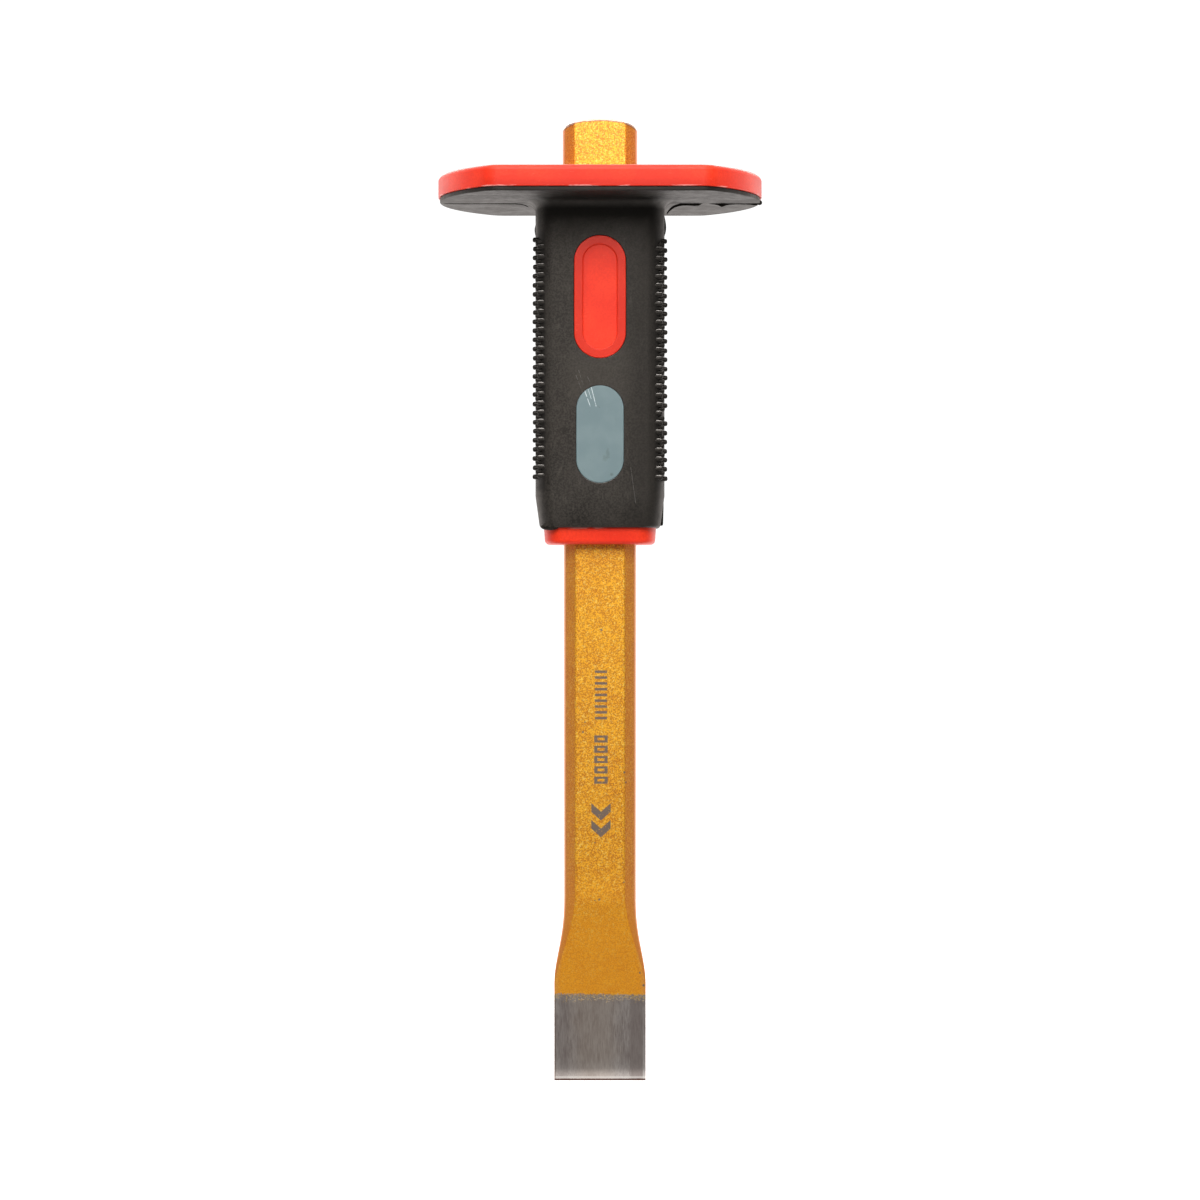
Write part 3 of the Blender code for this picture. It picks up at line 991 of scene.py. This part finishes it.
def makeCore():
    plate = guardBlank("guardPlate", guardSeam, coreHigh.z, 0)
    editPiece(plate)
    pick("edges", lambda edge: isLevelAt(edge, coreHigh.z) and isSharp(edge, 60))
    bevelPicked(guard["topRadius"] * mm, 6)
    pick("edges", lambda edge: isLevelAt(edge, guardSeam) and isSharp(edge, 60))
    bevelPicked(guard["seamRadius"] * mm, 2)
    leaveEdit()
    cutWith(plate, barBlank("bore", guardSeam - mm, coreHigh.z + mm, guard["boreGap"] * mm))
    editPiece(plate)
    boreEdge = barWidth / 2 + 0.5 * mm
    pick(
        "edges",
        lambda edge: isLevelAt(edge, coreHigh.z)
        and all(abs(v.co.x) < boreEdge and abs(v.co.y) < barDepth / 2 + 0.5 * mm for v in edge.verts)
        and isSharp(edge, 60),
    )
    bevelPicked(guard["boreRadius"] * mm, 3)
    leaveEdit()

    collarTop = sleeveBottom + 2 * mm
    collar = gripBlank(
        "collar", grip["coreWidth"] * mm, grip["coreDepth"] * mm, collarBottom, collarTop
    )
    editPiece(collar, "VERT")
    pick("verts", lambda vert: vert.co.z < collarBottom + 0.1 * mm)
    shrinkX = 1 - 2 * grip["collarTaper"] / grip["coreWidth"]
    shrinkY = 1 - 2 * grip["collarTaper"] / grip["coreDepth"]
    widenPicked(shrinkX, shrinkY, collarBottom)
    bpy.ops.mesh.select_mode(type="EDGE")
    pick("edges", lambda edge: isLevelAt(edge, collarBottom))
    bevelPicked(grip["collarRound"] * mm, 5)
    leaveEdit()
    cutWith(collar, barBlank("bore", collarBottom - mm, collarTop + mm, guard["boreGap"] * mm))

    frontBoss = makeBoss("frontBoss")
    backBoss = copyPiece(frontBoss, "backBoss")
    turnPiece(backBoss, 180)
    core = joinPieces("gripCore", [plate, collar, frontBoss, backBoss])
    faceOutwards(core)
    smoothShade(core)
    return core


core = makeCore()
settle(core, "grip_core", redFinish)
print("core made")


# black sleeve with its disc
sleeve = {
    "fillet": 3.0,
    "filletSteps": 7,
    "taperTop": 182.3,
    "taper": 1.35,
    "lipRadius": 0.8,
    "windowGap": 0.08,
    "inlayGap": 0.05,
    "pocketDepth": 1.2,
    "ovalRadius": 0.2,
    "ovalReach": 9,
}


def makeSleeve():
    discLow = guard["seam"] * mm - guard["discThickness"] * mm
    disc = guardBlank("disc", discLow, guardSeam, guard["discInset"] * mm)
    editPiece(disc)
    pick(
        "edges",
        lambda edge: isSharp(edge, 60) and (isLevelAt(edge, discLow) or isLevelAt(edge, guardSeam)),
    )
    bevelPicked(guard["discRadius"] * mm, 3)
    leaveEdit()

    filletLow = discLow - sleeve["fillet"] * mm
    tube = gripBlank("tube", sleeveWidth, sleeveDepth, sleeveBottom, filletLow)
    editPiece(tube, "FACE")
    pick("faces", lambda face: face.normal.z > 0.9)
    height, out = filletLow, 0.0
    for step in range(1, sleeve["filletSteps"] + 1):
        turn = pi / 2 * step / sleeve["filletSteps"]
        nextHeight = filletLow + sleeve["fillet"] * mm * sin(turn)
        nextOut = sleeve["fillet"] * mm * (1 - cos(turn))
        extrudePicked(0, 0, nextHeight - height)
        growX = (sleeveWidth + 2 * nextOut) / (sleeveWidth + 2 * out)
        growY = (sleeveDepth + 2 * nextOut) / (sleeveDepth + 2 * out)
        widenPicked(growX, growY, nextHeight)
        height, out = nextHeight, nextOut
    # the tube's top ends just inside the disc
    bpy.ops.transform.translate(value=(0, 0, 0.1 * mm))
    bpy.ops.mesh.select_all(action="SELECT")
    bpy.ops.mesh.bisect(plane_co=(0, 0, sleeve["taperTop"] * mm), plane_no=(0, 0, 1))
    bpy.ops.mesh.select_mode(type="VERT")
    pick("verts", lambda vert: vert.co.z < sleeveBottom + 0.1 * mm)
    shrinkX = 1 - 2 * sleeve["taper"] * mm / sleeveWidth
    shrinkY = 1 - 2 * sleeve["taper"] * mm / sleeveDepth
    widenPicked(shrinkX, shrinkY, sleeveBottom)
    bpy.ops.mesh.select_mode(type="EDGE")
    pick("edges", lambda edge: isLevelAt(edge, sleeveBottom))
    bevelPicked(sleeve["lipRadius"] * mm, 4)
    leaveEdit()

    for side in (-1, 1):
        front, back = -sleeveDepth / 2 - mm, -sleeveDepth / 2 + window["rootDepth"] * mm + 0.2 * mm
        opening = ovalBlank(
            "opening",
            (window["width"] + 2 * sleeve["windowGap"]) * mm,
            (window["height"] + 2 * sleeve["windowGap"]) * mm,
            window["centre"] * mm,
            front,
            back,
        )
        inlaySize = inlayHigh - inlayLow
        pocket = ovalBlank(
            "pocket",
            inlaySize.x + 2 * sleeve["inlayGap"] * mm,
            inlaySize.z + 2 * sleeve["inlayGap"] * mm,
            (inlayLow.z + inlayHigh.z) / 2,
            front,
            -sleeveDepth / 2 + sleeve["pocketDepth"] * mm,
        )
        for cutter in (opening, pocket):
            if side > 0:
                turnPiece(cutter, 180)
            cutWith(tube, cutter)
    editPiece(tube)
    pick(
        "edges",
        lambda edge: isSharp(edge, 60)
        and all(abs(abs(v.co.y) - sleeveDepth / 2) < near for v in edge.verts)
        and all(abs(v.co.x) < sleeve["ovalReach"] * mm for v in edge.verts),
    )
    bevelPicked(sleeve["ovalRadius"] * mm, 2)
    leaveEdit()
    return joinPieces("sleeve", [tube, disc])


# studs on the sleeve's corners
studs = {
    "pitch": 2.826,
    "topRow": 261.7,
    "rightDrop": 0.5,
    "radius": 0.86,
    "tipRadius": 0.76,
    "tipRound": 0.5,
    "length": 3.6,
    "sides": 10,
    "columns": (
        {"root": 18.95, "tip": 20.85, "backTip": 20.1, "drop": 0.0, "rows": 27},
        {"root": 18.1, "tip": 20.0, "backTip": 19.6, "drop": 0.41, "rows": 26},
        {"root": 17.0, "tip": 19.35, "backTip": 19.0, "drop": 0.93, "rows": 26},
    ),
    "jitter": 0.07,
    "missing": (0.0, 19, 1, -1),  # column's drop, row, side in x, side in y
    "seed": 7,
}


def cornerDepthAt(x):
    # how far forward the sleeve's skin lies at a distance from its middle
    flat = sleeveWidth / 2 - grip["cornerAcross"] * mm
    part = min(max((x - flat) / (grip["cornerAcross"] * mm), 0), 1)
    return sleeveDepth / 2 - grip["cornerDeep"] * mm * (1 - (1 - part**2) ** 0.5)


def makeStud():
    stud = startPiece(
        "stud",
        bpy.ops.mesh.primitive_cone_add,
        turn=(0, pi / 2, 0),
        vertices=studs["sides"],
        radius1=studs["radius"] * mm,
        radius2=studs["tipRadius"] * mm,
        depth=studs["length"] * mm,
        location=(-studs["length"] * mm / 2, 0, 0),
    )
    editPiece(stud)
    pick("edges", lambda edge: isSharp(edge, 60) and all(v.co.x > -0.1 * mm for v in edge.verts))
    bevelPicked(studs["tipRound"] * mm, 3)
    leaveEdit()
    return stud


def makeStuds():
    chance = Random(studs["seed"])
    slack = studs["jitter"] * mm
    stud = makeStud()
    copies = []
    for column in studs["columns"]:
        depth = cornerDepthAt(column["root"] * mm) - studs["radius"] * mm
        for row in range(column["rows"]):
            height = studs["topRow"] - studs["pitch"] * (row + column["drop"])
            for sideX in (-1, 1):
                level = (height - max(sideX, 0) * studs["rightDrop"]) * mm
                for sideY in (-1, 1):
                    reach = column["tip"] if sideY < 0 else column["backTip"]
                    if (column["drop"], row, sideX, sideY) == studs["missing"]:
                        continue
                    copy = stud.copy()
                    copy.data = stud.data.copy()
                    bpy.context.collection.objects.link(copy)
                    copy.location = (
                        sideX * reach * mm + chance.uniform(-slack, slack),
                        sideY * depth,
                        level + chance.uniform(-slack, slack),
                    )
                    copy.rotation_euler = (
                        chance.uniform(0, pi),
                        chance.uniform(-0.06, 0.06),
                        (0 if sideX > 0 else pi) + chance.uniform(-0.04, 0.04),
                    )
                    copies.append(copy)
    bpy.data.objects.remove(stud, do_unlink=True)
    joined = joinPieces("studs", copies)
    bpy.ops.object.transform_apply(location=True, rotation=True, scale=True)
    selectOnly(joined)
    bpy.ops.object.shade_smooth_by_angle(angle=radians(50))
    return joined


sleevePiece = makeSleeve()
faceOutwards(sleevePiece)
smoothShade(sleevePiece)
settle(sleevePiece, "grip_overmould", blackFinish)
print("sleeve made")

studPiece = makeStuds()
settle(studPiece, "grip_overmould", blackFinish)
print("studs made")


# moulding flash left along the parting line
flash = {
    "thickness": 0.3,
    # x, z and width of each station; the fins stand out sideways or downwards
    "fins": (
        ("rightFoot", "side", (
            (19.6, 182.0, 0.5), (19.65, 180.0, 0.6), (19.35, 176.5, 1.0), (19.0, 173.6, 1.6),
            (18.95, 173.3, 1.5),
        )),
        ("rightShoulder", "side", (
            (19.9, 270.4, 0.4), (20.1, 268.6, 0.9), (20.25, 266.6, 1.1), (20.2, 265.2, 0.9),
            (19.95, 263.6, 0.5),
        )),
        ("leftShoulder", "side", (
            (-19.9, 267.6, 0.4), (-20.15, 266.2, 0.8), (-20.1, 264.8, 0.7), (-19.9, 263.4, 0.4),
        )),
        ("rightDisc", "down", (
            (20.9, 270.9, 0.8), (21.8, 272.2, 1.0), (23.4, 273.3, 0.9), (25.5, 273.8, 0.8),
            (28.5, 273.75, 0.9), (30.6, 273.7, 1.1), (31.4, 273.9, 0.5), (32.0, 274.1, 0.1),
            (34.0, 274.1, 0.1), (34.5, 273.95, 0.4), (37.0, 273.9, 0.5), (38.0, 273.4, 1.7),
            (39.2, 273.85, 0.6), (42.0, 273.9, 0.35), (46.0, 273.9, 0.3), (48.0, 273.8, 0.8),
            (49.4, 273.8, 0.9),
        )),
        ("leftDisc", "down", (
            (-22.4, 272.9, 0.3), (-23.4, 273.6, 0.3), (-26.0, 273.95, 0.3), (-32.0, 273.95, 0.35),
            (-38.0, 273.97, 0.2), (-44.0, 273.95, 0.35), (-49.6, 273.95, 0.3),
        )),
    ),
    "lumps": (
        {"place": (-15.5, -12.1, 172.75), "size": (2.9, 1.5, 1.1)},
        {"place": (49.9, 0.0, 274.3), "size": (0.8, 0.8, 0.8)},
    ),
}


def makeFin(name, direction, stations):
    stations = [(x * mm, z * mm, width * mm) for x, z, width in stations]
    firstX, firstZ, firstWidth = stations[0]
    sideways = direction == "side"
    thin = flash["thickness"] * mm
    sliver = 0.05 * mm
    fin = startPiece(
        name,
        bpy.ops.mesh.primitive_cube_add,
        (firstWidth, thin, sliver) if sideways else (sliver, thin, firstWidth),
        size=1,
        location=(firstX, 0, firstZ),
    )
    nextX, nextZ, _ = stations[1]
    heading = Vector((0, 0, nextZ - firstZ)) if sideways else Vector((nextX - firstX, 0, 0))
    heading.normalize()
    editPiece(fin, "FACE")
    pick("faces", lambda face: face.normal.dot(heading) > 0.9)
    lastX, lastZ, lastWidth = stations[0]
    for x, z, width in stations[1:]:
        extrudePicked(x - lastX, 0, z - lastZ)
        grow = width / lastWidth
        bpy.ops.transform.resize(
            value=(grow, 1, 1) if sideways else (1, 1, grow), center_override=(x, 0, z)
        )
        lastX, lastZ, lastWidth = x, z, width
    leaveEdit()
    modify(fin, "SUBSURF", levels=1, render_levels=1)
    return fin


def makeFlash():
    fins = [makeFin(name, direction, stations) for name, direction, stations in flash["fins"]]
    lumps = [
        startPiece(
            "lump",
            bpy.ops.mesh.primitive_uv_sphere_add,
            [size * mm for size in lump["size"]],
            segments=20,
            ring_count=10,
            radius=1,
            location=[place * mm for place in lump["place"]],
        )
        for lump in flash["lumps"]
    ]
    joined = joinPieces("mouldFlash", fins + lumps)
    faceOutwards(joined)
    selectOnly(joined)
    bpy.ops.object.shade_smooth_by_angle(angle=radians(50))
    return joined


flashPiece = makeFlash()
settle(flashPiece, "grip_overmould", flashFinish)
print("flash made")


# inlays
inlay = {"thickness": 1.0, "edge": 0.25}


def makeInlay(name):
    size = inlayHigh - inlayLow
    front = -sleeveDepth / 2
    middle = (inlayLow.z + inlayHigh.z) / 2
    plug = ovalBlank(name, size.x, size.z, middle, front, front + inlay["thickness"] * mm)
    editPiece(plug)
    pick("edges", lambda edge: isSharp(edge, 60) and all(v.co.y < front + 0.1 * mm for v in edge.verts))
    bevelPicked(inlay["edge"] * mm, 3)
    leaveEdit()
    return plug


frontInlay = makeInlay("frontInlay")
backInlay = copyPiece(frontInlay, "backInlay")
turnPiece(backInlay, 180)
for plug, node in ((frontInlay, "front_inlay"), (backInlay, "back_inlay")):
    faceOutwards(plug)
    smoothShade(plug)
    settle(plug, node, greyFinish)
print("inlays made")


# floor, light and camera
studio = {
    "floorSize": 30.0,
    "floorWhite": 0.8,
    "floorGlow": 0.86,
    "backgroundWhite": 1.1,
    "frontGlow": 0.22,
    "sideGlow": 0.22,
    "backGlow": 1.75,
    "backCentre": 0.45,
    "backTint": (1.0, 0.94, 0.91, 1),
    "lowGlow": 0.95,
    "lowTint": (0.98, 0.97, 0.97, 1),
    "lowSideGlow": 0.6,
    "distance": 1.17,
    "lens": 112.3,
    "sensor": 36,
    "aimHeight": 0.1501,
    "lights": (
        {"name": "keySoftbox", "watts": 27, "size": (1.7, 0.9), "place": (0.0, -1.25, 0.98)},
        {"name": "topSoftbox", "watts": 10, "size": (1.2, 0.8), "place": (0.0, -0.35, 1.45)},
        {"name": "backSoftbox", "watts": 12, "size": (1.6, 0.8), "place": (0.0, 1.4, 1.1)},
        {"name": "leftSoftbox", "watts": 2.6, "size": (0.7, 0.7), "place": (-1.1, -0.5, 1.0)},
        {"name": "rightSoftbox", "watts": 2.6, "size": (0.7, 0.7), "place": (1.1, -0.5, 1.0)},
    ),
}


def makeFloor():
    floor = startPiece(
        "floor", bpy.ops.mesh.primitive_plane_add, size=studio["floorSize"], location=(0, 0, -0.2 * mm)
    )
    material, start, spot = startFinish("paleFloor")
    cloud = spot.grain(400.0, 2.0, 0.5).ease(0.3, 0.7)
    white = studio["floorWhite"]
    pale = cloud.blend((white, white, white, 1), (white * 0.98, white * 0.98, white * 0.98, 1))
    values = {
        "Base Color": pale,
        "Roughness": 0.9,
        "Specular IOR Level": 0.0,
        "Emission Color": (1, 1, 1, 1),
        "Emission Strength": studio["floorGlow"],
    }
    endFinish(material, start, values)
    floor.data.materials.append(material)
    floor.visible_diffuse = False
    floor.visible_glossy = False


def makeSky():
    # white to look at, but dimmer in front and at the sides, so that the lamps model the shapes
    world = bpy.data.worlds.new("studioSky")
    world.use_nodes = True
    tree = world.node_tree
    tree.nodes.clear()
    sky = Wire(tree)
    x, y, z = sky.node("TexCoord").axes()
    # brighter behind, save in its middle, and brighter below
    level = y.ease(-1.0, 0.1, studio["frontGlow"], studio["sideGlow"])
    level = level + y.ease(0.0, 0.75, 0, studio["backGlow"] - studio["sideGlow"])
    level = level - y.ease(0.9, 0.99, 0, studio["backGlow"] - studio["backCentre"])
    level = level + z.ease(-0.35, -0.95, 0, studio["lowGlow"] - studio["frontGlow"])
    level = level + z.ease(0.05, -0.35) * y.ease(-0.3, 0.2) * studio["lowSideGlow"]
    # 1 where the camera looks straight at it
    seen = sky.node("LightPath", output=0)
    level = level + seen * (studio["backgroundWhite"] - level)
    behind = y.ease(0.0, 0.75) * (1 - seen)
    tint = behind.blend((1, 1, 1, 1), studio["backTint"])
    tint = (z.ease(-0.2, -0.9) * (1 - seen)).blend(tint, studio["lowTint"])
    glow = sky.node("Background", {}, {"Color": tint, "Strength": level})
    sky.node("OutputWorld", {}, {"Surface": glow})
    bpy.context.scene.world = world


def makeLights():
    for light in studio["lights"]:
        lamp = bpy.data.lights.new(light["name"], "AREA")
        lamp.energy = light["watts"]
        lamp.shape = "RECTANGLE"
        lamp.size, lamp.size_y = light["size"]
        holder = bpy.data.objects.new(light["name"], lamp)
        bpy.context.collection.objects.link(holder)
        holder.location = light["place"]
        away = Vector(light["place"]) - Vector((0, 0, chiselHigh.z / 2))
        holder.rotation_euler = away.to_track_quat("Z", "Y").to_euler()


def makeCamera():
    eye = bpy.data.cameras.new("camera")
    eye.lens = studio["lens"]
    eye.sensor_width = studio["sensor"]
    eye.clip_start = 0.01
    eye.clip_end = 100
    camera = bpy.data.objects.new("camera", eye)
    bpy.context.collection.objects.link(camera)
    camera.location = (0, -studio["distance"], studio["aimHeight"])
    camera.rotation_euler = (pi / 2, 0, 0)
    bpy.context.scene.camera = camera
    bpy.context.scene.view_settings.view_transform = "Standard"


makeFloor()
makeSky()
makeLights()
makeCamera()
print("studio made")
